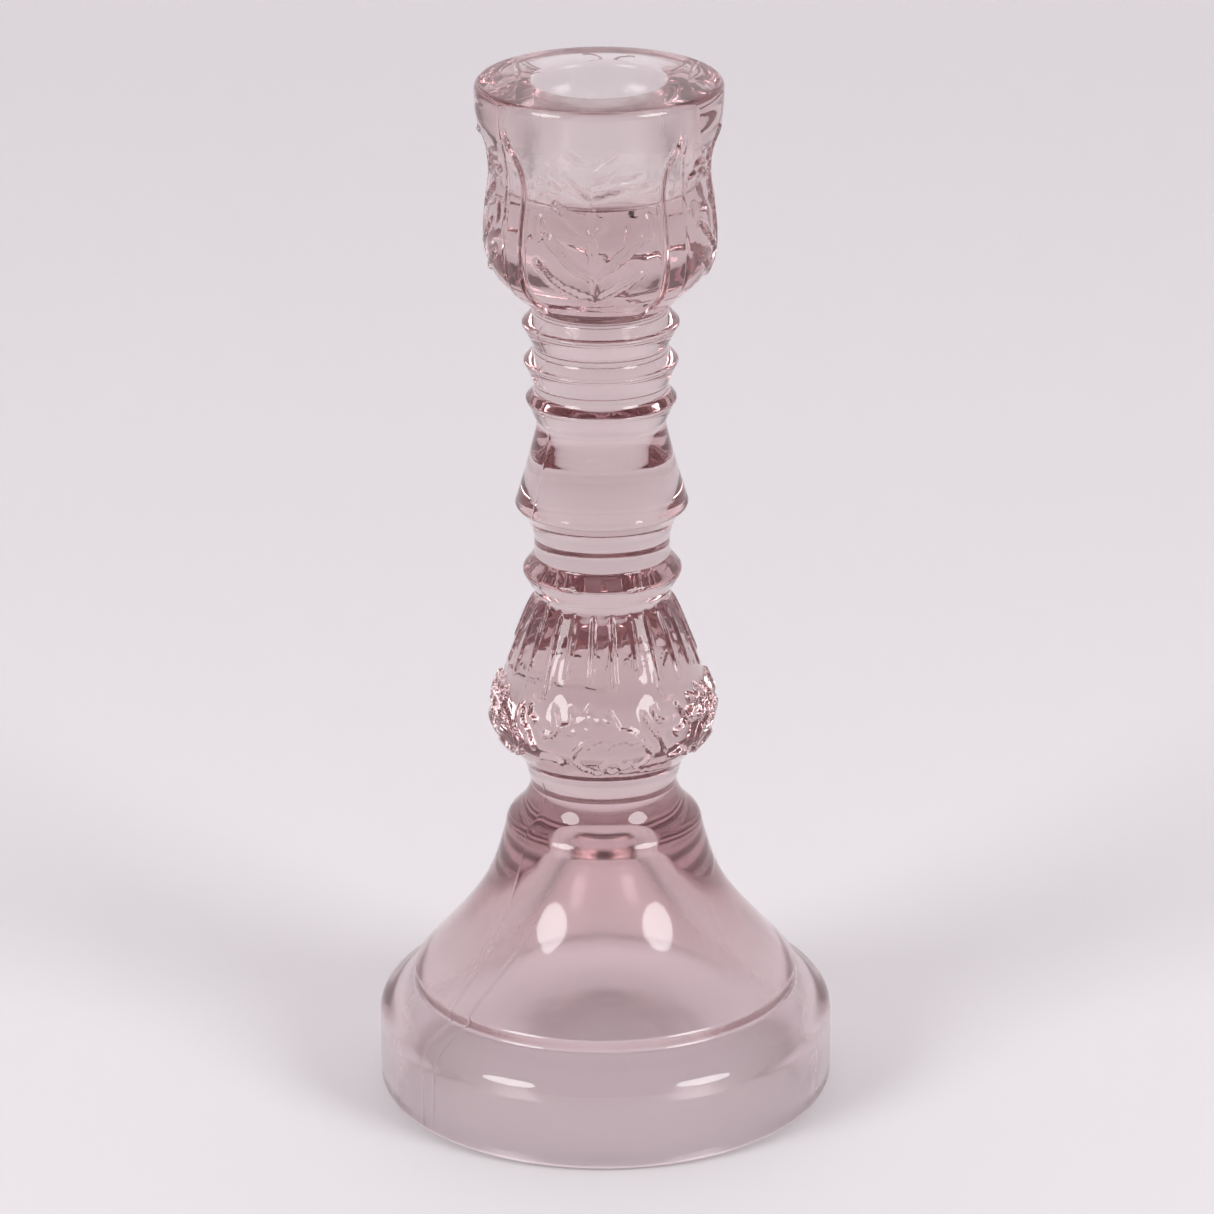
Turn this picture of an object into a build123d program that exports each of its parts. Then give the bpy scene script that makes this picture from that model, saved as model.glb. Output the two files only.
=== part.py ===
from build123d import *

import math
import os

# A pressed-glass candlestick, in millimetres. It stands on Z = 0 with its axis on Z. The
# glass is divided at its natural necks into the forms a glass worker would name, stacked
# face to face from the foot up. Every profile is drawn as radius against height on the XZ
# plane and turned about Z.

# ---- driving dimensions -------------------------------------------------------------------

HEIGHT = 190.0

FOOT_RADIUS = 41.3  # outside of the upright band
FOOT_EDGE = 2.4  # rounding of the band's lower edge
SHOULDER_START = 13.5  # the band's side starts to round over here
CREASE_RADIUS = 34.8  # the rounded shoulder meets the bell in a crease
CREASE_HEIGHT = 20.7
BELL_WAIST_RADIUS = 21.3  # the bell's slope turns from a cone to a throat here
BELL_WAIST_HEIGHT = 40.0
BELL_TOP_RADIUS = 17.5
BELL_TOP = 52.0
COLLAR_TOP = 59.0

CAVITY_RIM_RADIUS = 37.9  # the hollow under the foot, where it meets the table
CAVITY_RIM_EDGE = 0.9
CAVITY_SHOULDER_RADIUS = 36.1
CAVITY_SHOULDER_HEIGHT = 10.4
CAVITY_CREASE_RADIUS = 25.3  # the hollow, level with the crease outside
CAVITY_CROWN_RADIUS = 8.4
CAVITY_CROWN_HEIGHT = 41.0
CAVITY_TOP = 47.0

NECK_RADIUS = 13.2  # under the baluster
BALUSTER_RADIUS = 20.1
BALUSTER_WIDEST = 72.5
BALUSTER_TOP = 95.5
THROAT_RADIUS = 12.1  # necks above and below the ring knop
FLUTE_COUNT = 24
FLUTE_RADIUS = 1.7
FLUTE_DEPTH = 0.55

RING_KNOP_RADIUS = 14.2
RING_KNOP_HEIGHT = 100.0
RING_KNOP_TOP = 105.0

FLARE_RADIUS = 15.4
FLARE_HEIGHT = 112.5
STEM_RADIUS = 11.5

COLLAR_HEIGHT = 7.0  # each of the three rounded collars below the socket
COLLAR_CREST_HEIGHT = 4.0  # a collar is widest this far above its bottom
GROOVE_RADIUS = 11.9  # between the collars, and under the cup
COLLAR_CRESTS = {"collar_ring_lower": 13.35, "collar_ring_middle": 13.65, "collar_ring_upper": 13.9}
COLLARS_BOTTOM = 128.0
CUP_BOTTOM = COLLARS_BOTTOM + 3 * COLLAR_HEIGHT

CUP_BASE_RADIUS = 20.0
CUP_BASE_HEIGHT = 162.0
CUP_WAIST_RADIUS = 18.95
CUP_WAIST_HEIGHT = 175.5
CUP_LIP_RADIUS = 21.7
CUP_LIP_HEIGHT = 187.5
LIP_EDGE = 1.1
SOCKET_RADIUS = 11.3  # takes a standard 22 mm candle
SOCKET_DEPTH = 20.5
MOUTH_EDGE = 0.8
PANEL_COUNT = 4
PANEL_DEPTH = 0.55
RIB_ANGLE = 12.0
FIRST_RIB_ANGLE = 221.0

os.makedirs("parts", exist_ok=True)


def distance(start, end):
    """Length of the straight run between two profile points."""
    return math.hypot(end[0] - start[0], end[1] - start[1])


# ---- foot ---------------------------------------------------------------------------------

# The hollow's wall leans in a little from the rim to a rounded shoulder, then sweeps up in one
# long curve, steeper and steeper, to a small domed crown. The glass is thickest behind the
# crease. The band holds the part of the hollow below the crease, the bell the rest.
CAVITY_SLOPE = (1, -0.86)  # which way the sweep runs as it passes the crease
BELL_SHOULDER = (CREASE_RADIUS - 1.4, CREASE_HEIGHT + 3.55)  # a small step stands at the crease
BELL_SLOPE = (-0.66, 0.75)

with BuildPart() as foot_band:
    with BuildSketch(Plane.XZ):
        with BuildLine():
            Line((CAVITY_RIM_RADIUS, 0), (FOOT_RADIUS - FOOT_EDGE, 0))
            RadiusArc((FOOT_RADIUS - FOOT_EDGE, 0), (FOOT_RADIUS, FOOT_EDGE), -FOOT_EDGE)
            Line((FOOT_RADIUS, FOOT_EDGE), (FOOT_RADIUS, SHOULDER_START))
            Spline(
                (FOOT_RADIUS, SHOULDER_START),
                (FOOT_RADIUS - 1.0, 16.6),
                (38.9, 17.9),
                (CREASE_RADIUS, CREASE_HEIGHT),
                tangents=((0, 1), (-1, 0.65)),
            )
            Line((CREASE_RADIUS, CREASE_HEIGHT), (CAVITY_CREASE_RADIUS, CREASE_HEIGHT))
            Spline(
                (CAVITY_CREASE_RADIUS, CREASE_HEIGHT),
                (CAVITY_SHOULDER_RADIUS - 1.3, 13.4),
                (CAVITY_SHOULDER_RADIUS, CAVITY_SHOULDER_HEIGHT),
                tangents=(CAVITY_SLOPE, (0.1, -1)),
            )
            Line(
                (CAVITY_SHOULDER_RADIUS, CAVITY_SHOULDER_HEIGHT),
                (CAVITY_RIM_RADIUS - CAVITY_RIM_EDGE, CAVITY_RIM_EDGE),
            )
            RadiusArc(
                (CAVITY_RIM_RADIUS - CAVITY_RIM_EDGE, CAVITY_RIM_EDGE),
                (CAVITY_RIM_RADIUS, 0),
                -CAVITY_RIM_EDGE,
            )
        make_face()
    revolve(axis=Axis.Z)
foot_band.part.label = "foot_band"
export_step(foot_band.part, "parts/foot_band.step")

with BuildPart() as bell_foot:
    with BuildSketch(Plane.XZ):
        with BuildLine():
            Spline(
                (CREASE_RADIUS, CREASE_HEIGHT),
                (CREASE_RADIUS - 0.55, CREASE_HEIGHT + 2.3),
                BELL_SHOULDER,
                tangents=((0, 1), BELL_SLOPE),
            )
            Spline(
                BELL_SHOULDER,
                (28.3, 30.0),
                (BELL_WAIST_RADIUS, BELL_WAIST_HEIGHT),
                (BELL_TOP_RADIUS, BELL_TOP),
                tangents=(BELL_SLOPE, (-0.27, 1)),
            )
            Polyline((BELL_TOP_RADIUS, BELL_TOP), (0, BELL_TOP), (0, CAVITY_TOP))
            Spline(
                (0, CAVITY_TOP),
                (5.2, CAVITY_TOP - 0.8),
                (CAVITY_CROWN_RADIUS, CAVITY_CROWN_HEIGHT),
                tangents=((1, 0), (0.5, -1)),
            )
            Spline(
                (CAVITY_CROWN_RADIUS, CAVITY_CROWN_HEIGHT),
                (15.0, 31.0),
                (CAVITY_CREASE_RADIUS, CREASE_HEIGHT),
                tangents=((0.5, -1), CAVITY_SLOPE),
            )
            Line((CAVITY_CREASE_RADIUS, CREASE_HEIGHT), (CREASE_RADIUS, CREASE_HEIGHT))
        make_face()
    revolve(axis=Axis.Z)
bell_foot.part.label = "bell_foot"
export_step(bell_foot.part, "parts/bell_foot.step")

with BuildPart() as foot_collar:
    with BuildSketch(Plane.XZ):
        with BuildLine():
            Polyline((NECK_RADIUS, COLLAR_TOP), (0, COLLAR_TOP), (0, BELL_TOP), (BELL_TOP_RADIUS, BELL_TOP))
            Spline(
                (BELL_TOP_RADIUS, BELL_TOP),
                (BELL_TOP_RADIUS - 0.5, BELL_TOP + 0.9),
                (NECK_RADIUS + 1.1, COLLAR_TOP - 3.0),
                (NECK_RADIUS, COLLAR_TOP),
                tangents=((-0.27, 1), (0, 1)),
            )
        make_face()
    revolve(axis=Axis.Z)
foot_collar.part.label = "foot_collar"
export_step(foot_collar.part, "parts/foot_collar.step")

# ---- baluster and stem --------------------------------------------------------------------

SIDE_TOP = (THROAT_RADIUS + 0.7, 93.5)  # the baluster's upper side is nearly a cone
SIDE_BOTTOM = (16.9, 83.0)

with BuildPart() as baluster_knop:
    with BuildSketch(Plane.XZ):
        with BuildLine():
            Line((0, COLLAR_TOP), (NECK_RADIUS, COLLAR_TOP))
            Spline(
                (NECK_RADIUS, COLLAR_TOP),
                (NECK_RADIUS + 1.3, 64.0),
                (18.1, 68.0),
                (BALUSTER_RADIUS, BALUSTER_WIDEST),
                tangents=((0, 1), (0, 1)),
            )
            Spline(
                (BALUSTER_RADIUS, BALUSTER_WIDEST),
                (18.3, 79.4),
                SIDE_BOTTOM,
                SIDE_TOP,
                (THROAT_RADIUS, BALUSTER_TOP),
                tangents=((0, 1), (-0.15, 1)),
            )
            Polyline((THROAT_RADIUS, BALUSTER_TOP), (0, BALUSTER_TOP), (0, COLLAR_TOP))
        make_face()
    revolve(axis=Axis.Z)
    # Shallow upright flutes run round the upper side, under the throat. Each is one round bar
    # laid along the side and sunk by the flute's depth, with a ball-ended foot.
    side_lean = math.degrees(math.atan2(SIDE_BOTTOM[0] - SIDE_TOP[0], SIDE_TOP[1] - SIDE_BOTTOM[1]))
    flute_length = distance(SIDE_TOP, SIDE_BOTTOM)
    flute_stand_off = FLUTE_RADIUS - FLUTE_DEPTH
    lean = math.radians(side_lean)
    flute_foot = (
        SIDE_BOTTOM[0] + flute_stand_off * math.cos(lean),
        SIDE_BOTTOM[1] + flute_stand_off * math.sin(lean),
    )
    with PolarLocations(0, FLUTE_COUNT):
        with Locations(Location((flute_foot[0], 0, flute_foot[1]), (0, -side_lean, 0))):
            Cylinder(
                FLUTE_RADIUS,
                flute_length * 1.4,
                align=(Align.CENTER, Align.CENTER, Align.MIN),
                mode=Mode.SUBTRACT,
            )
            Sphere(FLUTE_RADIUS, mode=Mode.SUBTRACT)
baluster_knop.part.label = "baluster_knop"
export_step(baluster_knop.part, "parts/baluster_knop.step")

with BuildPart() as ring_knop:
    with BuildSketch(Plane.XZ):
        with BuildLine():
            Polyline(
                (THROAT_RADIUS, RING_KNOP_TOP),
                (0, RING_KNOP_TOP),
                (0, BALUSTER_TOP),
                (THROAT_RADIUS, BALUSTER_TOP),
            )
            Spline(
                (THROAT_RADIUS, BALUSTER_TOP),
                (THROAT_RADIUS + 0.6, BALUSTER_TOP + 1.5),
                (RING_KNOP_RADIUS - 0.3, RING_KNOP_HEIGHT - 1.0),
                (RING_KNOP_RADIUS, RING_KNOP_HEIGHT),
                tangents=((0, 1), (0, 1)),
            )
            Spline(
                (RING_KNOP_RADIUS, RING_KNOP_HEIGHT),
                (RING_KNOP_RADIUS - 0.7, RING_KNOP_HEIGHT + 1.0),
                (THROAT_RADIUS + 0.4, RING_KNOP_HEIGHT + 2.9),
                (THROAT_RADIUS, RING_KNOP_TOP),
                tangents=((0, 1), (0, 1)),
            )
        make_face()
    revolve(axis=Axis.Z)
ring_knop.part.label = "ring_knop"
export_step(ring_knop.part, "parts/ring_knop.step")

with BuildPart() as flared_knop:
    with BuildSketch(Plane.XZ):
        with BuildLine():
            Line((0, RING_KNOP_TOP), (THROAT_RADIUS, RING_KNOP_TOP))
            Spline(
                (THROAT_RADIUS, RING_KNOP_TOP),
                (THROAT_RADIUS + 0.8, RING_KNOP_TOP + 4.0),
                (FLARE_RADIUS - 0.4, FLARE_HEIGHT - 0.7),
                (FLARE_RADIUS, FLARE_HEIGHT),
                tangents=((0, 1), (0, 1)),
            )
            Spline(
                (FLARE_RADIUS, FLARE_HEIGHT),
                (FLARE_RADIUS - 0.2, FLARE_HEIGHT + 0.7),
                (STEM_RADIUS + 1.7, 120.0),
                (STEM_RADIUS, COLLARS_BOTTOM),
                tangents=((0, 1), (0, 1)),
            )
            Polyline((STEM_RADIUS, COLLARS_BOTTOM), (0, COLLARS_BOTTOM), (0, RING_KNOP_TOP))
        make_face()
    revolve(axis=Axis.Z)
flared_knop.part.label = "flared_knop"
export_step(flared_knop.part, "parts/flared_knop.step")

# Three rounded collars, alike but for their size, with a sharp groove between neighbours.
for number, (collar_name, crest_radius) in enumerate(COLLAR_CRESTS.items()):
    collar_bottom = COLLARS_BOTTOM + number * COLLAR_HEIGHT
    collar_top = collar_bottom + COLLAR_HEIGHT
    bottom_radius = STEM_RADIUS if number == 0 else GROOVE_RADIUS
    with BuildPart() as collar_ring:
        with BuildSketch(Plane.XZ):
            with BuildLine():
                Spline(
                    (bottom_radius, collar_bottom),
                    (crest_radius, collar_bottom + COLLAR_CREST_HEIGHT),
                    tangents=((1, 1.1), (0, 1)),
                )
                Spline(
                    (crest_radius, collar_bottom + COLLAR_CREST_HEIGHT),
                    (GROOVE_RADIUS, collar_top),
                    tangents=((0, 1), (-1, 1.2)),
                )
                Polyline(
                    (GROOVE_RADIUS, collar_top),
                    (0, collar_top),
                    (0, collar_bottom),
                    (bottom_radius, collar_bottom),
                )
            make_face()
        revolve(axis=Axis.Z)
    collar_ring.part.label = collar_name
    export_step(collar_ring.part, f"parts/{collar_name}.step")

# ---- socket -------------------------------------------------------------------------------

with BuildPart() as socket_cup:
    with BuildSketch(Plane.XZ):
        with BuildLine():
            Polyline((0, HEIGHT), (0, CUP_BOTTOM), (GROOVE_RADIUS, CUP_BOTTOM))
            Spline(
                (GROOVE_RADIUS, CUP_BOTTOM),
                (14.2, CUP_BOTTOM + 2.3),
                (18.6, CUP_BOTTOM + 6.7),
                (CUP_BASE_RADIUS, CUP_BASE_HEIGHT),
                tangents=((1, 0.6), (0, 1)),
            )
            Spline(
                (CUP_BASE_RADIUS, CUP_BASE_HEIGHT),
                (CUP_WAIST_RADIUS, CUP_WAIST_HEIGHT),
                (CUP_LIP_RADIUS, CUP_LIP_HEIGHT),
                tangents=((0, 1), (0, 1)),
            )
            Line((CUP_LIP_RADIUS, CUP_LIP_HEIGHT), (CUP_LIP_RADIUS, HEIGHT - LIP_EDGE))
            RadiusArc((CUP_LIP_RADIUS, HEIGHT - LIP_EDGE), (CUP_LIP_RADIUS - LIP_EDGE, HEIGHT), -LIP_EDGE)
            Line((CUP_LIP_RADIUS - LIP_EDGE, HEIGHT), (0, HEIGHT))
        make_face()
    revolve(axis=Axis.Z)
    # The candle's hole, with a rounded mouth.
    with BuildSketch(Plane.XY.offset(HEIGHT)):
        Circle(SOCKET_RADIUS)
    extrude(amount=-SOCKET_DEPTH, mode=Mode.SUBTRACT)
    mouth = socket_cup.faces().filter_by(Plane.XY).sort_by(Axis.Z)[-1].inner_wires()[0]
    fillet(mouth.edges(), MOUTH_EDGE)
    # Sunk panels leave narrow upright ribs standing between them. Each panel's cutter is a
    # band turned through the panel's angle, its inner side following the wall at panel depth.
    panel_angle = 360.0 / PANEL_COUNT - RIB_ANGLE
    for panel in range(PANEL_COUNT):
        start = FIRST_RIB_ANGLE + RIB_ANGLE / 2 + panel * 360.0 / PANEL_COUNT
        with BuildSketch(Plane.XZ.rotated((0, 0, start))):
            with BuildLine():
                Spline(
                    (CUP_BASE_RADIUS + 0.4, CUP_BASE_HEIGHT - 2.0),
                    (CUP_WAIST_RADIUS - PANEL_DEPTH, CUP_WAIST_HEIGHT),
                    (CUP_LIP_RADIUS + 0.4, CUP_LIP_HEIGHT - 2.5),
                )
                Line(
                    (CUP_LIP_RADIUS + 0.4, CUP_LIP_HEIGHT - 2.5),
                    (CUP_BASE_RADIUS + 0.4, CUP_BASE_HEIGHT - 2.0),
                )
            make_face()
        revolve(axis=Axis.Z, revolution_arc=panel_angle, mode=Mode.SUBTRACT)
socket_cup.part.label = "socket_cup"
export_step(socket_cup.part, "parts/socket_cup.step")
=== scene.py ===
import math

import bpy
import numpy as np
from mathutils import Euler, Matrix, Vector, noise


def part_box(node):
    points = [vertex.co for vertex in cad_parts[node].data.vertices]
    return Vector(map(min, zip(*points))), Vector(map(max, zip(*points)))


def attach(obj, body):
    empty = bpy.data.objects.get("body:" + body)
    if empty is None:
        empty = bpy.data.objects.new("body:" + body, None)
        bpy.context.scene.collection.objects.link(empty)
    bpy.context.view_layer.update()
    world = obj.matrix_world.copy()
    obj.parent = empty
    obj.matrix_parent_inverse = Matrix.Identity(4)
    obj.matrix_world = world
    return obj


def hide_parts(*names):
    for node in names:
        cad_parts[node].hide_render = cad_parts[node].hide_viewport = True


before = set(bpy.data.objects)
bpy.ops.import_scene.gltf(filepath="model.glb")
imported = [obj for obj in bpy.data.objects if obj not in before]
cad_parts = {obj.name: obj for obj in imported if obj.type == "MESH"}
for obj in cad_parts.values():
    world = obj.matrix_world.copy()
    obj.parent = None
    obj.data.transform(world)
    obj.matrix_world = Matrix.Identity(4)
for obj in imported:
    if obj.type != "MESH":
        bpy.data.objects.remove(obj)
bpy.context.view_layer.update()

# The glass is one closed skin, a turned outline with relief on it. The outline is drawn as
# (radius, height) points in millimetres, from the crown of the foot's hollow down to the
# table, up the outside, over the rim and down into the candle's hole.

MM = 0.001

# ---- where the forms begin and end, from the CAD nodes -------------------------------------


def node_span(name):
    """Bottom, top and largest radius of a CAD node, in millimetres."""
    low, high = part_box(name)
    return low[2] / MM, high[2] / MM, high[0] / MM


CREASE, FOOT_R = node_span("foot_band")[1:]
BELL_TOP = node_span("bell_foot")[1]
NECK, BULB_TOP, BULB_R = node_span("baluster_knop")
RING_TOP, RING_R = node_span("ring_knop")[1:]
STEM_TOP, FLARE_R = node_span("flared_knop")[1:]
COLLARS = [node_span(f"collar_ring_{which}")[1:] for which in ("lower", "middle", "upper")]
CUP_LOW, RIM, CUP_R = node_span("socket_cup")

# ---- driving dimensions ---------------------------------------------------------------------

TABLE = 0.0
CAVITY_TOP = 47.0
DOME_END = (8.4, 41.0)  # a small dome crowns the hollow
CAVITY_SWEEP_END = (34.8, 13.4)
CAVITY_SHOULDER = (36.1, 10.4)
CAVITY_FOOT = (37.0, 0.8)
STAND_IN, STAND_OUT = 37.9, 38.9  # the flat ring that stands on the table
SIDE_LOW, SIDE_HIGH = 2.4, 13.5  # the band's upright side
CREASE_R = 34.8
STEP_TOP = 22.3  # a small step stands at the crease
BELL_START = (33.4, 24.25)
BELL_SLOPE = (-0.66, 0.75)
BELL_END = (17.9, 50.2)
BELL_END_SLOPE = (-0.25, 1)
BELL_LIP = (16.9, 53.0)
NECK_R = 13.2  # under the baluster
WIDEST = NECK + 13.5  # height of the baluster's largest radius
THROAT_R = 12.1  # above and below the ring knop
RING_UNDER = (13.85, 100.65)  # the ring's upper flank is a cone between these two
RING_OVER = (12.3, 102.6)
RING_FLANK = (-1, 1.25)
FLARE_UNDER = (FLARE_R - 0.5, 111.7)  # the flare's lip is rounded between these two
FLARE_OVER = (FLARE_R - 0.2, 113.2)
STEM_R = 11.5
GROOVE_R = 11.9  # between the collars, and under the cup
CREST_SHARE = 0.57  # how far up its height each collar is widest
CREST_UNDER, CREST_OVER = (0.35, 0.7), (0.5, 0.65)  # in from the crest, and down or up from it
COLLAR_FLANK = (-1, 1.15)
LIP_LOW = 187.0
LIP_HIGH = 188.9
RIM_OUT, RIM_IN = 20.5, 12.3  # the rim is flat between these radii
MOUTH = 189.0  # the candle's hole is straight below this height
SOCKET_R = 11.3
SOCKET_DEPTH = 20.5
SOCKET_FLOOR = RIM - SOCKET_DEPTH

SEAMS = (math.radians(217), math.radians(37))  # the mould opened along these two lines
FIRST_RIB = math.radians(221)
PANELS = 4
RIBS = [FIRST_RIB + panel * 2 * math.pi / PANELS for panel in range(PANELS)]

# ---- the outline ----------------------------------------------------------------------------


def curve(points, spacing, start=None, end=None):
    """Points along an evenly bending curve through (radius, height) points, the first left out."""
    pts = np.array(points, float)
    step = np.diff(pts, axis=0)
    chord = np.hypot(step[:, 0], step[:, 1])
    last = len(pts) - 1
    matrix, right = np.zeros((last + 1, last + 1)), np.zeros((last + 1, 2))
    for i in range(1, last):
        before, after = chord[i - 1], chord[i]
        matrix[i, i - 1 : i + 2] = after, 2 * (before + after), before
        right[i] = 3 * (after * step[i - 1] / before + before * step[i] / after)
    for i, beside, direction, run in ((0, 1, start, 0), (last, last - 1, end, -1)):
        if direction:
            matrix[i, i] = 1
            right[i] = np.array(direction) / math.hypot(*direction)
        else:
            matrix[i, i], matrix[i, beside] = 2, 1
            right[i] = 3 * step[run] / chord[run]
    slopes = np.linalg.solve(matrix, right)
    out = []
    for a, b, slope_a, slope_b, run in zip(pts, pts[1:], slopes, slopes[1:], chord):
        pieces = max(1, round(run / spacing))
        for k in range(1, pieces + 1):
            t = k / pieces
            out.append(
                a * (2 * t**3 - 3 * t**2 + 1)
                + slope_a * run * (t**3 - 2 * t**2 + t)
                + b * (3 * t**2 - 2 * t**3)
                + slope_b * run * (t**3 - t**2)
            )
    return out


def line(points, spacing):
    """Points along straight runs between (radius, height) points, the first left out."""
    out = []
    for a, b in zip(points, points[1:]):
        a, b = np.array(a, float), np.array(b, float)
        steps = max(1, round(math.dist(a, b) / spacing))
        out += [a + (b - a) * k / steps for k in range(1, steps + 1)]
    return out


outline = [np.array((0.0, CAVITY_TOP))]
regions = {}


def add(name, *stretches):
    """Append stretches of the outline and remember which of its points they cover."""
    first = len(outline)
    for stretch in stretches:
        outline.extend(stretch)
    regions[name] = range(first, len(outline))


def draw_foot():
    """The hollow from its crown to the table, then the band, the crease and the bell."""
    dome = [(0, CAVITY_TOP), (3.4, 46.9), (5.2, 46.2), (6.8, 44.2), DOME_END]
    sweep = [DOME_END, (11.2, 36.0), (15.0, 31.0), (20.0, 25.5), (27.0, 19.2), CAVITY_SWEEP_END]
    add(
        "cavity",
        curve(dome, 1.4, (1, 0)),
        curve(sweep, 2.2),
        curve([CAVITY_SWEEP_END, (35.8, 12.0), CAVITY_SHOULDER], 0.8),
        line([CAVITY_SHOULDER, CAVITY_FOOT], 2.0),
    )
    add(
        "foot_ring",
        curve([CAVITY_FOOT, (37.25, 0.2), (STAND_IN, TABLE)], 0.35, (0.1, -1), (1, 0)),
        line([(STAND_IN, TABLE), (STAND_OUT, TABLE)], 0.6),
    )
    shoulder = [(FOOT_R, SIDE_HIGH), (41.05, 15.3), (40.3, 16.6), (38.9, 17.9), (36.8, 19.4)]
    add(
        "band",
        curve([(STAND_OUT, TABLE), (40.6, 0.7), (FOOT_R, SIDE_LOW)], 0.55, (1, 0), (0, 1)),
        line([(FOOT_R, SIDE_LOW), (FOOT_R, SIDE_HIGH)], 1.6),
        curve(shoulder + [(CREASE_R, CREASE)], 0.7, (0, 1)),
    )
    step_corner = [(CREASE_R, STEP_TOP), (34.7, 22.65), (34.45, 23.0)]
    add(
        "bell",
        line([(CREASE_R, CREASE), (CREASE_R, STEP_TOP)], 0.5),
        curve(step_corner, 0.18, (0, 1), BELL_SLOPE),
        line([step_corner[-1], BELL_START], 0.6),
        curve([BELL_START, (28.3, 30.0), (21.3, 40.0), BELL_END], 1.35, BELL_SLOPE, BELL_END_SLOPE),
        curve([BELL_END, (17.5, BELL_TOP), BELL_LIP], 0.5, BELL_END_SLOPE),
    )


def draw_baluster():
    """The neck, the baluster's swelling and its long upper side."""
    add("neck", curve([BELL_LIP, (14.4, 55.8), (13.4, 58.0), (NECK_R, NECK)], 0.55, None, (0, 1)))
    swelling = [(NECK_R, NECK), (13.6, 61.0), (14.6, 64.0), (16.2, 66.0), (18.2, 68.1), (19.6, 70.2)]
    add("bulb_low", curve(swelling + [(BULB_R, WIDEST)], 0.5, (0, 1), (0, 1)))
    side = [(BULB_R, WIDEST), (19.7, 76.0), (18.25, 79.4), (16.75, 83.5), (15.2, 87.6), (13.35, 92.3)]
    add("bulb_high", curve(side + [(THROAT_R, BULB_TOP)], 0.5, (0, 1), (-0.15, 1)))


def draw_stem():
    """The ring knop, the cove, the flared knop and the three collars."""
    swell = [(THROAT_R, BULB_TOP), (12.7, 97.0), (13.9, 99.0), (RING_R, 99.95), RING_UNDER]
    add(
        "ring",
        curve(swell, 0.4, (0, 1), RING_FLANK),
        line([RING_UNDER, RING_OVER], 0.6),
        curve([RING_OVER, (THROAT_R, 103.2)], 0.3, RING_FLANK, (0, 1)),
        line([(THROAT_R, 103.2), (THROAT_R, RING_TOP)], 0.6),
    )
    cove = [(THROAT_R, RING_TOP), (12.3, 107.2), (13.3, 109.8), FLARE_UNDER]
    add("cove", curve(cove, 0.6, (0, 1), (1, 0.6)))
    add(
        "flare",
        curve([FLARE_UNDER, (FLARE_R, 112.4), FLARE_OVER], 0.4),
        curve([FLARE_OVER, (13.2, 120.1), (11.8, 125.4), (STEM_R, STEM_TOP)], 0.9, (-0.29, 1), (0.1, 1)),
    )
    bottom = (STEM_R, STEM_TOP)
    for number, (collar_top, collar_r) in enumerate(COLLARS):
        crest = bottom[1] + CREST_SHARE * (collar_top - bottom[1])
        under = (collar_r - CREST_UNDER[0], crest - CREST_UNDER[1])
        over = (collar_r - CREST_OVER[0], crest + CREST_OVER[1])
        groove = (GROOVE_R, over[1] + COLLAR_FLANK[1] * (over[0] - GROOVE_R))
        top = (GROOVE_R, collar_top)
        add(
            f"collar_{number}",
            line([bottom, under], 0.6),
            curve([under, (collar_r, crest), over], 0.3, (1, 1.4), COLLAR_FLANK),
            line([over, groove, top], 0.6),
        )
        bottom = top


def draw_cup():
    """The waisted cup, its rim and the candle's hole."""
    base = [(GROOVE_R, CUP_LOW), (14.2, 151.3), (16.5, 153.4), (18.6, 155.7), (19.6, 158.2), (20.0, 162.0)]
    waist = [(19.5, 168.5), (18.95, 175.5), (20.1, 180.2), (21.4, 183.6), (CUP_R, LIP_LOW)]
    add("cup", curve(base + waist, 0.5, (1, 0.6), (0, 1)))
    add(
        "rim",
        curve([(CUP_R, LIP_LOW), (CUP_R, LIP_HIGH), (21.3, 189.7), (RIM_OUT, RIM)], 0.5, (0, 1), (-1, 0)),
        line([(RIM_OUT, RIM), (RIM_IN, RIM)], 1.6),
        curve([(RIM_IN, RIM), (11.6, 189.7), (SOCKET_R, MOUTH)], 0.35, (-1, 0), (0, -1)),
    )
    corner = [(SOCKET_R, SOCKET_FLOOR + 1.4), (10.9, SOCKET_FLOOR + 0.4), (9.9, SOCKET_FLOOR)]
    add(
        "bore",
        line([(SOCKET_R, MOUTH), corner[0]], 2.2),
        curve(corner, 0.5, (0, -1), (-1, 0)),
        line([corner[-1], (1.5, SOCKET_FLOOR)], 2.2),
    )


draw_foot()
draw_baluster()
draw_stem()
draw_cup()

# ---- the grid of points ---------------------------------------------------------------------

# Each point of the outline becomes a ring of points. The patterned forms keep every point of
# a ring, the plain ones every third. Extra points stand beside the seams and the ribs' edges.
SKIP = 3
FINE = ("bulb_low", "bulb_high", "cup")
EVEN_COLUMNS = 106
even = np.linspace(0, 2 * math.pi, EVEN_COLUMNS, endpoint=False)
beside_seam = np.radians([-1.3, -0.4, 0.0, 0.4, 1.3])
beside_rib = np.radians([-6.2, -4.8, 4.8, 6.2])
beside = [seam + beside_seam for seam in SEAMS] + [rib + beside_rib for rib in RIBS]
coarse = np.concatenate([even] + beside)
coarse = np.sort(coarse % (2 * math.pi))
gap = np.diff(np.append(coarse, coarse[0] + 2 * math.pi))
turn = (coarse[:, None] + gap[:, None] * np.arange(SKIP) / SKIP).ravel()

rows = np.array(outline[1:])  # radius, height of each row, the crown's centre apart
radius = np.repeat(rows[:, :1], len(turn), axis=1)
height = np.repeat(rows[:, 1:], len(turn), axis=1)
angle = np.repeat(turn[None, :], len(rows), axis=0)
relief = np.zeros_like(radius)


def rows_of(*names):
    """A slice over the rows of the named stretches, which must be neighbours."""
    spans = [regions[name] for name in names]
    return slice(spans[0].start - 1, spans[-1].stop - 1)


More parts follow.
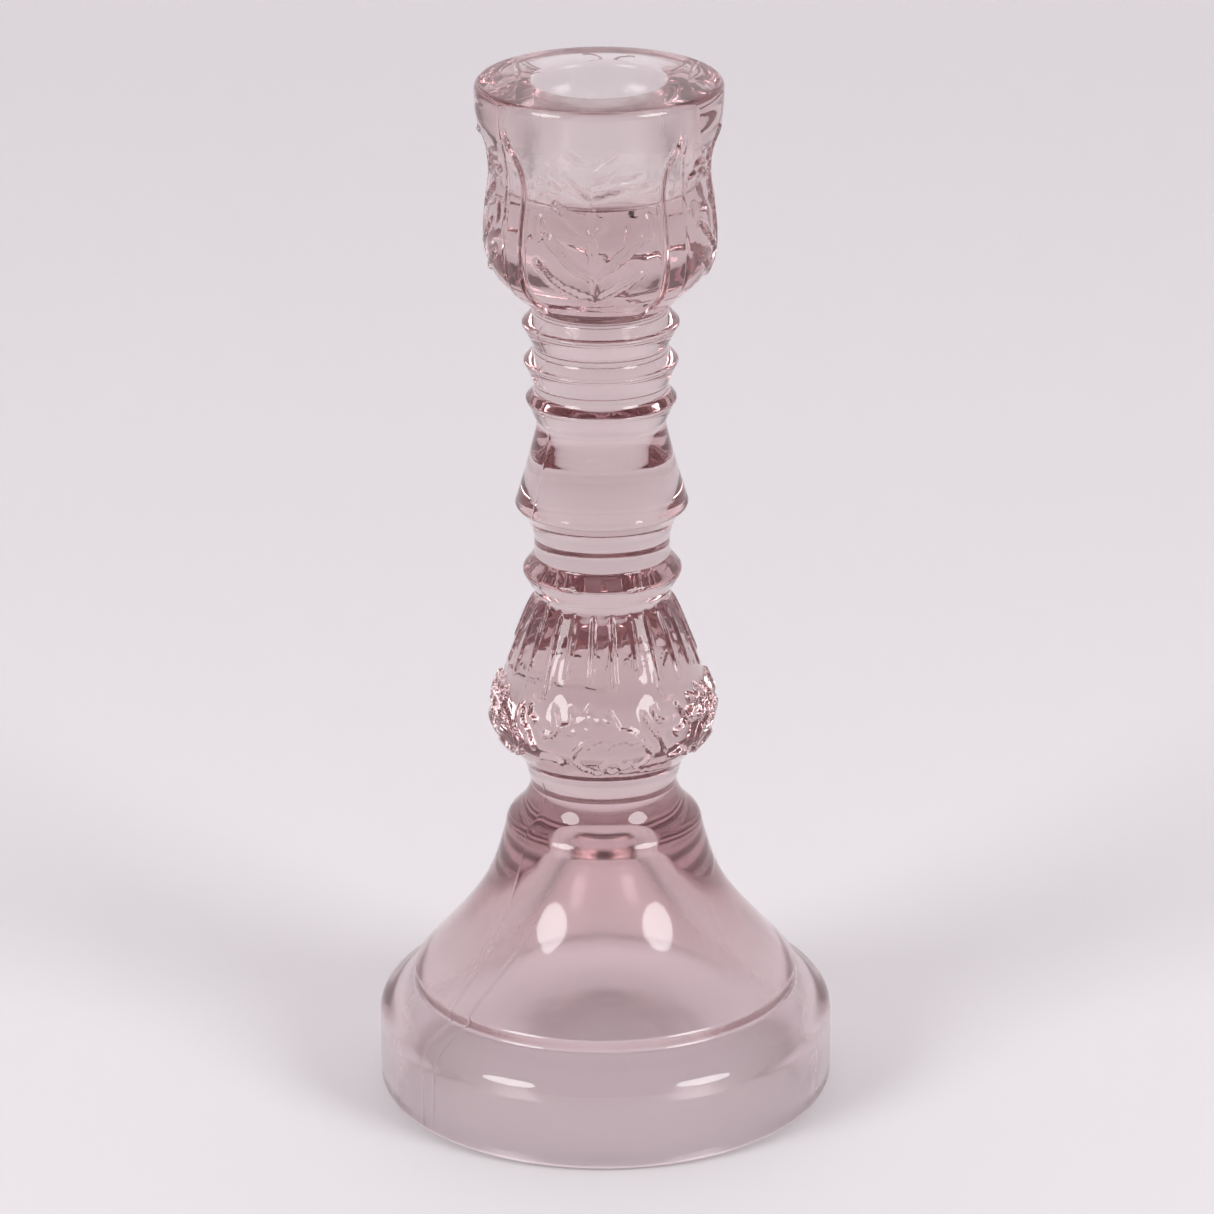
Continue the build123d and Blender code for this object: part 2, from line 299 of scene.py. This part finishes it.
# ---- relief ---------------------------------------------------------------------------------


def smooth(low, high, x):
    """0 below low, 1 above high, and an even S between them."""
    t = np.clip((x - low) / (high - low), 0, 1)
    return t * t * (3 - 2 * t)


def wrapped(a):
    """The angle a in -pi to pi."""
    return (a + math.pi) % (2 * math.pi) - math.pi


def near(u, z, points):
    """Distance from a polyline drawn on the unrolled surface (u, z)."""
    nearest = np.full_like(u, 1e9)
    for (au, az), (bu, bz) in zip(points, points[1:]):
        du, dz = bu - au, bz - az
        t = np.clip(((u - au) * du + (z - az) * dz) / (du * du + dz * dz), 0, 1)
        nearest = np.minimum(nearest, np.hypot(u - au - t * du, z - az - t * dz))
    return nearest


def ridge(u, z, points, half_width, rise):
    """Height of a narrow flat-topped ridge along a polyline on the unrolled surface."""
    return rise * (1 - smooth(0.3 * half_width, half_width, near(u, z, points)))


# The cup: narrow ribs with pointed tops stand between four panels, and a leaf sprig climbs
# the middle of each panel. Its strokes are (across, height) points from the panel's middle.
RIB_HALF, RIB_RISE = 2.05, 0.55
RIB_NARROWS, RIB_TIP = 174.0, 185.5
GUTTER_DEPTH = 0.22
PANEL_R = 19.3  # the radius at which a panel is unrolled
FADE_IN = (CUP_LOW + 1.6, CUP_LOW + 4.0)  # the relief grows out of the cup's base
SPRIG_HALF, SPRIG_RISE = 0.52, 0.55
BUD_ACROSS, BUD_HEIGHT = 9.6, 168.6
BUD_HALF_WIDTH, BUD_HALF_HEIGHT, BUD_RISE = 1.1, 2.3, 0.3
SPRIG = (
    ((0.6, 155.2), (0.3, 160.0), (-0.1, 168.0), (0.0, 180.0)),
    ((-9.9, 162.0), (-6.5, 158.6), (-2.2, 156.5), (0.6, 155.6)),
    ((8.4, 160.9), (5.0, 158.4), (1.3, 156.3)),
    ((-7.4, 166.7), (-3.4, 162.2), (0.3, 159.8), (4.0, 162.9), (8.4, 167.0)),
    ((-6.7, 172.5), (-2.6, 169.4), (0.0, 167.4), (2.2, 169.6)),
    ((-10.2, 176.5), (-6.2, 175.8), (-1.5, 173.8)),
    ((10.5, 175.6), (6.2, 175.5), (0.6, 173.8)),
    ((-7.1, 178.0), (-1.0, 173.8), (-5.0, 178.3)),
    ((8.7, 177.8), (0.6, 176.5), (4.1, 179.0)),
    ((-3.9, 182.3), (0.0, 179.8), (3.3, 182.9)),
)


def rib_relief(z, around, r, rib):
    """One upright rib, pointed at the top, with a shallow gutter along each side."""
    u = np.abs(wrapped(around - rib)) * r
    half = RIB_HALF * (1 - smooth(RIB_NARROWS, RIB_TIP + 1.5, z)) + 0.1
    on_rib = (1 - smooth(half - 0.35, half + 0.05, u)) * (1 - smooth(RIB_TIP - 1, RIB_TIP + 1, z))
    gutter = np.exp(-(((u - half - 0.4) / 0.35) ** 2)) * (1 - smooth(RIB_TIP - 3, RIB_TIP, z))
    return RIB_RISE * on_rib - GUTTER_DEPTH * gutter


def sprig_relief(u, z, panel):
    """One panel's leaf sprig, its strokes wandering a little."""
    wander = 0.25 * np.sin(1.7 * u + 2.1 * panel) * np.sin(1.3 * z)
    return np.max([ridge(u, z + wander, stroke, SPRIG_HALF, SPRIG_RISE) for stroke in SPRIG], axis=0)


def bud_relief(u, z):
    """A small oval bud near each side of a panel."""
    buds = 0
    for side in (-1, 1):
        across = ((u - side * BUD_ACROSS) / BUD_HALF_WIDTH) ** 2
        buds = buds + np.sqrt(np.clip(1 - across - ((z - BUD_HEIGHT) / BUD_HALF_HEIGHT) ** 2, 0, 1))
    return BUD_RISE * buds


def cup_relief(z, around, r):
    """Everything that stands on the cup."""
    fade = smooth(*FADE_IN, z)
    total = np.zeros_like(z)
    for panel, rib in enumerate(RIBS):
        mirror = 1 if panel % 2 == 0 else -1
        u = mirror * wrapped(around - rib - math.pi / PANELS) * PANEL_R
        total += fade * (rib_relief(z, around, r, rib) + sprig_relief(u, z, panel)) + bud_relief(u, z)
    return total


# The baluster: thin upright ridges with uneven, drop-shaped feet above, and below them a leafy
# vine in waves. Its strokes are (across, height) points from the middle of a wave.
RIDGES = 24
RIDGE_FOOT, RIDGE_END = 83.6, 93.6
RIDGE_RISE, RIDGE_HALF = 0.34, 0.62
RIDGE_STRAYS = math.radians(0.8)  # no ridge stands quite where even spacing puts it
FLUTE_DEPTH, FLUTE_END = 0.08, 92.5  # the hollows between the ridges
RELIEF_TOP = BULB_TOP - 0.4
VINE_PERIODS = 5
FIRST_WAVE = math.radians(268)
VINE_HALF, VINE_RISE = 0.52, 0.62
VINE_FADES_IN, VINE_FADES_OUT = (64.0, 66.0), (81.5, 83.5)
LEAF_MIDDLE, LEAF_LEAN = (0.4, 76.0), 0.12
LEAF_HALF_LENGTH, LEAF_HALF_HEIGHT, LEAF_RISE = 7.4, 1.2, 0.35
VINE = (
    ((-7.6, 76.0), (-3.6, 77.6), (0.6, 77.4), (4.6, 76.0), (8.2, 73.4)),  # a leaf's back
    ((-7.6, 76.0), (-3.4, 75.4), (1.4, 75.2), (5.2, 74.2), (8.2, 73.4)),  # and its belly
    ((-5.2, 77.3), (-5.6, 79.4), (-2.6, 78.0), (-1.9, 80.0), (0.4, 77.9), (2.0, 79.2), (3.2, 76.9)),
    ((-2.2, 76.4), (-0.6, 75.9), (-1.4, 74.0), (-2.2, 72.9)),
    ((1.2, 76.3), (2.6, 75.5), (1.9, 73.9), (1.4, 73.0)),
    ((8.2, 73.4), (9.6, 71.8), (8.9, 69.6), (6.4, 68.6)),
    ((-10.6, 74.4), (-8.6, 74.8), (-7.6, 76.0), (-9.0, 79.0)),
    ((-11.6, 69.4), (-9.2, 70.4), (-7.0, 69.0)),
    ((8.6, 78.4), (9.6, 75.9), (11.4, 74.0), (12.6, 71.4)),
    ((10.6, 78.8), (11.0, 77.2), (12.4, 76.4)),
    ((0.2, 68.8), (2.0, 70.2), (4.2, 68.9), (2.4, 67.6), (0.2, 68.8)),  # a small diamond
)
SCROLL_MIDDLE, SCROLL_HALF_WIDTH, SCROLL_HALF_HEIGHT = (0.6, 70.9), 5.6, 3.6
SCROLL = [
    (
        SCROLL_MIDDLE[0] + SCROLL_HALF_WIDTH * math.cos(math.radians(a)),
        SCROLL_MIDDLE[1] + SCROLL_HALF_HEIGHT * math.sin(math.radians(a)),
    )
    for a in range(60, 331, 18)
]


def ridges_relief(z, around, r):
    """The upright ridges, and the shallow hollows between them."""
    pitch = 2 * math.pi / RIDGES
    number = np.round(around / pitch - 0.5)
    astray = RIDGE_STRAYS * np.sin(3.1 * number)
    u = (around - (number + 0.5) * pitch - astray) * r
    foot = RIDGE_FOOT + 2.0 * np.sin(number * 2.4) + 1.0 * np.sin(number * 5.3)
    drop = 1 + 0.35 * np.exp(-(((z - foot - 0.6) / 0.9) ** 2))
    away = np.hypot(u, np.minimum(z - foot, 0))
    profile = 1 - smooth(0.12 * drop, RIDGE_HALF * drop, away)
    between = np.sin(math.pi * np.clip(u / (pitch * r), -0.5, 0.5)) ** 2
    hollow = between * smooth(0, 3, z - foot) * (1 - smooth(FLUTE_END, RELIEF_TOP, z))
    return RIDGE_RISE * profile * (1 - smooth(RIDGE_END, RELIEF_TOP, z)) - FLUTE_DEPTH * hollow


def vine_relief(z, around):
    """The vine, repeated around the baluster, with a low leaf behind each of its leaf strokes."""
    vine = np.zeros_like(z)
    for wave in range(VINE_PERIODS):
        u = wrapped(around - FIRST_WAVE - wave * 2 * math.pi / VINE_PERIODS) * BULB_R
        wander = 0.3 * np.sin(1.9 * u + 1.3 * wave) * np.sin(1.1 * z + wave)
        for stroke in VINE + (SCROLL,):
            vine = np.maximum(vine, ridge(u, z + wander, stroke, VINE_HALF, VINE_RISE))
        along = (u - LEAF_MIDDLE[0]) / LEAF_HALF_LENGTH
        across = (z - LEAF_MIDDLE[1] + LEAF_LEAN * u) / LEAF_HALF_HEIGHT
        vine = np.maximum(vine, LEAF_RISE * np.sqrt(np.clip(1 - along**2 - across**2, 0, 1)))
    return vine * smooth(*VINE_FADES_IN, z) * (1 - smooth(*VINE_FADES_OUT, z))


cup = rows_of("cup")
relief[cup] += cup_relief(height[cup], angle[cup], radius[cup])
bulb = rows_of("bulb_low", "bulb_high")
relief[bulb] += ridges_relief(height[bulb], angle[bulb], radius[bulb])
relief[bulb] += vine_relief(height[bulb], angle[bulb])

# The mould's seams, a little proud, and the gentle unevenness of pressed glass.
SEAM_HALF, SEAM_RISE = 0.32, 0.05
for seam in SEAMS:
    sharp = np.maximum(0, 1 - np.abs(wrapped(angle - seam)) * radius / SEAM_HALF)
    relief += SEAM_RISE * sharp * (height > 1.5) * (height < RIM - 1.0) * (radius > SOCKET_R + 0.1)

inside = rows_of("cavity")
outside = slice(regions["foot_ring"].stop - 1, regions["rim"].start - 1)
UNEVENNESS = (  # which rows, the size of the waves and their depth
    (inside, 9.0, 0.12),
    (outside, 14.0, 0.025),
    (rows_of("bore"), 5.0, 0.06),
)
NOISE_START = Vector((3.1, 7.7, 1.9))
for part, size, depth in UNEVENNESS:
    for i in range(*part.indices(len(rows))):
        for j, a in enumerate(turn):
            spot = Vector((rows[i, 0] * math.cos(a), rows[i, 0] * math.sin(a), rows[i, 1])) / size
            relief[i, j] += depth * noise.noise(spot + NOISE_START)

# The plunger left the hollow and the socket less bright than the mould left the outside, and
# the foot has dulled a little.
HOLLOW_FROST, BORE_FROST, MOUTH_FROST, BAND_FROST, BELL_FROST = 0.20, 0.15, 0.28, 0.045, 0.08
MOUTH_DEPTH = 9  # the dullest part of the socket is nearest its mouth
frost = np.zeros_like(radius)
frost[inside] = HOLLOW_FROST
frost[rows_of("bore")] = BORE_FROST
frost[(height > RIM - MOUTH_DEPTH) & (radius < SOCKET_R + 0.5)] = MOUTH_FROST
frost[rows_of("band")] = BAND_FROST
frost[rows_of("bell")] = BELL_FROST

# ---- the skin -------------------------------------------------------------------------------

slope = np.gradient(rows, axis=0)
length = np.hypot(slope[:, 0], slope[:, 1])
out_r, out_z = slope[:, 1] / length, -slope[:, 0] / length
flat = (np.abs(rows[:, 1]) < 1e-6) | (np.abs(rows[:, 1] - RIM) < 1e-6)
relief[flat] = 0
radius = radius + relief * out_r[:, None]
height = np.clip(height + relief * out_z[:, None], 0, RIM)

fine_rows = {i - 1 for name in FINE for i in regions[name]}
verts = [Vector((0, 0, CAVITY_TOP)) * MM]
dull = [frost[0, 0]]
rings = []
for i in range(len(rows)):
    chosen = range(0, len(turn), 1 if i in fine_rows else SKIP)
    rings.append([len(verts) + k for k in range(len(chosen))])
    for j in chosen:
        r, a = radius[i, j], turn[j]
        verts.append(Vector((r * math.cos(a), r * math.sin(a), height[i, j])) * MM)
        dull.append(frost[i, j])
verts.append(Vector((0, 0, SOCKET_FLOOR)) * MM)
dull.append(frost[-1, 0])


def bridge(low, high):
    """The faces between two rings of points, one of which may have SKIP times as many."""
    many, few = max(len(low), len(high)), min(len(low), len(high))
    made = []
    for j in range(few):
        k = (j + 1) % few
        if many == few:
            made.append((low[j], low[k], high[k], high[j]))
            continue
        dense, sparse = (low, high) if len(low) > len(high) else (high, low)
        f = [dense[(SKIP * j + n) % many] for n in range(SKIP + 1)]
        fan = [
            (sparse[j], f[1], f[0]),
            (sparse[j], sparse[k], f[1]),
            (sparse[k], f[2], f[1]),
            (sparse[k], f[3], f[2]),
        ]
        made += fan if dense is high else [face[::-1] for face in fan]
    return made


first, last = rings[0], rings[-1]
faces = [(0, first[(j + 1) % len(first)], first[j]) for j in range(len(first))]
for low, high in zip(rings, rings[1:]):
    faces += bridge(low, high)
faces += [(last[j], last[(j + 1) % len(last)], len(verts) - 1) for j in range(len(last))]

mesh = bpy.data.meshes.new("pressed_glass")
mesh.from_pydata(verts, [], faces)
for polygon in mesh.polygons:
    polygon.use_smooth = True
mesh.attributes.new("frost", "FLOAT", "POINT").data.foreach_set("value", dull)
glass = bpy.data.objects.new("pressed_glass", mesh)
bpy.context.collection.objects.link(glass)
print("glass triangles", sum(len(f) - 2 for f in faces))

# ---- the glass ------------------------------------------------------------------------------


def new_node(tree, kind, inputs):
    """A shader node with the given values on its own inputs."""
    made = tree.nodes.new(kind)
    for name, value in inputs.items():
        made.inputs[name].default_value = value
    return made


def map_range(tree, taken, given):
    """A node that turns the range taken into the range given."""
    ends = {"From Min": taken[0], "From Max": taken[1], "To Min": given[0], "To Max": given[1]}
    return new_node(tree, "ShaderNodeMapRange", ends)


def new_material(name, inputs):
    """A material, its node tree and its shader, with the given values on the shader."""
    material = bpy.data.materials.new(name)
    material.use_nodes = True
    shader = material.node_tree.nodes["Principled BSDF"]
    for key, value in inputs.items():
        shader.inputs[key].default_value = value
    return material, material.node_tree, shader


WHITE = (1.0, 1.0, 1.0, 1)
# A lighter and a deeper painted pink, standing in for pink light and shade on the floor seen through the
# foot
BAND_PAINTED_PINK = (1.0, 0.965, 0.98, 1)
BELL_PAINTED_PINK = (1.0, 0.91, 0.92, 1)
BODY_ROSE, BODY_DENSITY = (0.755, 0.575, 0.585, 1), 40.0
GLASS_IOR = 1.51
material, tree, shader = new_material("rose_glass", {"Transmission Weight": 1.0, "IOR": GLASS_IOR})
absorb = new_node(tree, "ShaderNodeVolumeAbsorption", {"Color": BODY_ROSE, "Density": BODY_DENSITY})
tree.links.new(absorb.outputs[0], tree.nodes["Material Output"].inputs["Volume"])

# Painted light: the glass of the bell is tinted a shade deeper than the band below it and the stem above
# it, and the band a little deeper than the stem. This stands in for the pink light and shade on the floor
# that is seen through the hollow foot.
where = tree.nodes.new("ShaderNodeTexCoord")
upright = tree.nodes.new("ShaderNodeSeparateXYZ")
level = map_range(tree, (0.0, NECK * MM), (0.0, 1.0))
painted_pink_tint = tree.nodes.new("ShaderNodeValToRGB")
ramp = painted_pink_tint.color_ramp.elements
ramp[0].color = BAND_PAINTED_PINK
ramp[1].color = WHITE
stops = ((CREASE - 4.0, BAND_PAINTED_PINK), (BELL_TOP - 17.0, BELL_PAINTED_PINK), (BELL_TOP + 2.0, BELL_PAINTED_PINK))
for stop, shade in stops:
    ramp.new(stop / NECK).color = shade
tree.links.new(where.outputs["Object"], upright.inputs["Vector"])
tree.links.new(upright.outputs["Z"], level.inputs["Value"])
tree.links.new(level.outputs["Result"], painted_pink_tint.inputs["Fac"])
tree.links.new(painted_pink_tint.outputs["Color"], shader.inputs["Base Color"])

# The surface is dulled by a patchy haze, and by the frost that each point carries.
HAZE_SCALE, HAZE_BEGINS, HAZE_FULL, HAZE_ROUGHNESS = 90.0, 0.52, 0.80, 0.08
haze = new_node(tree, "ShaderNodeTexNoise", {"Scale": HAZE_SCALE, "Detail": 4.0})
haze_range = map_range(tree, (HAZE_BEGINS, HAZE_FULL), (0.0, HAZE_ROUGHNESS))
dulled = tree.nodes.new("ShaderNodeAttribute")
dulled.attribute_name = "frost"
roughness = tree.nodes.new("ShaderNodeMath")
tree.links.new(where.outputs["Object"], haze.inputs["Vector"])
tree.links.new(haze.outputs["Fac"], haze_range.inputs["Value"])
tree.links.new(haze_range.outputs["Result"], roughness.inputs[0])
tree.links.new(dulled.outputs["Fac"], roughness.inputs[1])
tree.links.new(roughness.outputs[0], shader.inputs["Roughness"])

# A ripple too fine for the skin's points.
RIPPLE_SCALE, RIPPLE_STRENGTH, RIPPLE_DEPTH = 260.0, 0.06, 0.0005
ripple = new_node(tree, "ShaderNodeTexNoise", {"Scale": RIPPLE_SCALE, "Detail": 2.0})
bump = new_node(tree, "ShaderNodeBump", {"Strength": RIPPLE_STRENGTH, "Distance": RIPPLE_DEPTH})
tree.links.new(where.outputs["Object"], ripple.inputs["Vector"])
tree.links.new(ripple.outputs["Fac"], bump.inputs["Height"])
tree.links.new(bump.outputs["Normal"], shader.inputs["Normal"])
mesh.materials.append(material)

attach(glass, "root")
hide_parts("foot_band", "bell_foot", "foot_collar", "baluster_knop", "ring_knop", "flared_knop",
            "collar_ring_lower", "collar_ring_middle", "collar_ring_upper", "socket_cup")

# ---- floor ----------------------------------------------------------------------------------

# A sweep of paper runs from under the glass back to an upright wall, with a quarter-round bend.
PALE_LIGHT = (1.0, 0.95, 0.985, 1)
PAPER_PINK = (0.88, 0.85, 0.87, 1)
SWEEP_FRONT, SWEEP_BACK, SWEEP_HALF, SWEEP_TOP = -3.0, 1.3, 3.0, 2.6
SWEEP_BEND, BEND_STEPS = 0.6, 12
FLOOR_GAP = 0.0002  # the paper lies this far under the glass
sweep_line = [(SWEEP_FRONT, 0.0), (SWEEP_BACK - SWEEP_BEND, 0.0)]
for k in range(1, BEND_STEPS + 1):
    bend = math.radians(90 * k / BEND_STEPS)
    sweep_line.append((SWEEP_BACK - SWEEP_BEND * (1 - math.sin(bend)), SWEEP_BEND * (1 - math.cos(bend))))
sweep_line.append((SWEEP_BACK, SWEEP_TOP))
sweep = bpy.data.meshes.new("studio_sweep")
sweep.from_pydata(
    [(side * SWEEP_HALF, y, z - FLOOR_GAP) for y, z in sweep_line for side in (-1, 1)],
    [],
    [(2 * k, 2 * k + 1, 2 * k + 3, 2 * k + 2) for k in range(len(sweep_line) - 1)],
)
for polygon in sweep.polygons:
    polygon.use_smooth = True
floor = bpy.data.objects.new("studio_floor", sweep)
bpy.context.collection.objects.link(floor)
paper, paper_tree, paper_shader = new_material(
    "paper", {"Base Color": PAPER_PINK, "Roughness": 0.9, "Emission Color": PALE_LIGHT}
)
position = paper_tree.nodes.new("ShaderNodeNewGeometry")
upward = paper_tree.nodes.new("ShaderNodeSeparateXYZ")
glow = map_range(paper_tree, (0.02, 0.50), (0.10, 0.16))  # the sweep brightens as it rises
paper_tree.links.new(position.outputs["Position"], upward.inputs["Vector"])
paper_tree.links.new(upward.outputs["Z"], glow.inputs["Value"])
paper_tree.links.new(glow.outputs["Result"], paper_shader.inputs["Emission Strength"])
sweep.materials.append(paper)

# ---- light and camera -----------------------------------------------------------------------

world = bpy.data.worlds.new("studio")
world.use_nodes = True
room_tree = world.node_tree
backdrop = room_tree.nodes["Background"]
backdrop.inputs["Color"].default_value = PALE_LIGHT
heading = room_tree.nodes.new("ShaderNodeTexCoord")
split = room_tree.nodes.new("ShaderNodeSeparateXYZ")
room = map_range(room_tree, (-0.7, 0.4), (0.24, 0.46))  # dimmer towards -Y
room_tree.links.new(heading.outputs["Generated"], split.inputs["Vector"])
room_tree.links.new(split.outputs["Y"], room.inputs["Value"])
room_tree.links.new(room.outputs["Result"], backdrop.inputs["Strength"])
bpy.context.scene.world = world

AIM = Vector((0, 0, 0.08))
LAMP_SIZE, LAMP_WATTS = 0.86, 15.5
LAMP_OUT, LAMP_FORWARD, LAMP_UP = 1.30, -1.02, 0.90
for name, side in (("softbox_left", -1), ("softbox_right", 1)):
    lamp = bpy.data.lights.new(name, "AREA")
    lamp.shape = "DISK"
    lamp.size = LAMP_SIZE
    lamp.energy = LAMP_WATTS
    box = bpy.data.objects.new(name, lamp)
    box.location = Vector((side * LAMP_OUT, LAMP_FORWARD, LAMP_UP))
    box.rotation_euler = (AIM - box.location).to_track_quat("-Z", "Y").to_euler()
    bpy.context.collection.objects.link(box)

scene = bpy.context.scene
scene.view_settings.view_transform = "Standard"
BOUNCES = 32  # a ray meets many walls on its way through the glass
scene.cycles.max_bounces = BOUNCES
scene.cycles.transmission_bounces = BOUNCES
scene.cycles.glossy_bounces = BOUNCES // 2
scene.cycles.transparent_max_bounces = BOUNCES

CAMERA_AT = (0.00078, -0.98766, 0.47321)
CAMERA_TILT, CAMERA_ROLL = math.radians(68.9), math.radians(-0.376)
FOCAL_LENGTH, SENSOR_WIDTH = 175.5, 36.0  # millimetres
lens = bpy.data.cameras.new("camera")
lens.lens = FOCAL_LENGTH
lens.sensor_width = SENSOR_WIDTH
camera = bpy.data.objects.new("camera", lens)
tilt = Euler((CAMERA_TILT, 0, 0)).to_matrix()
roll = Matrix.Rotation(CAMERA_ROLL, 3, "Z")
camera.matrix_world = Matrix.Translation(CAMERA_AT) @ (tilt @ roll).to_4x4()
bpy.context.collection.objects.link(camera)
scene.camera = camera
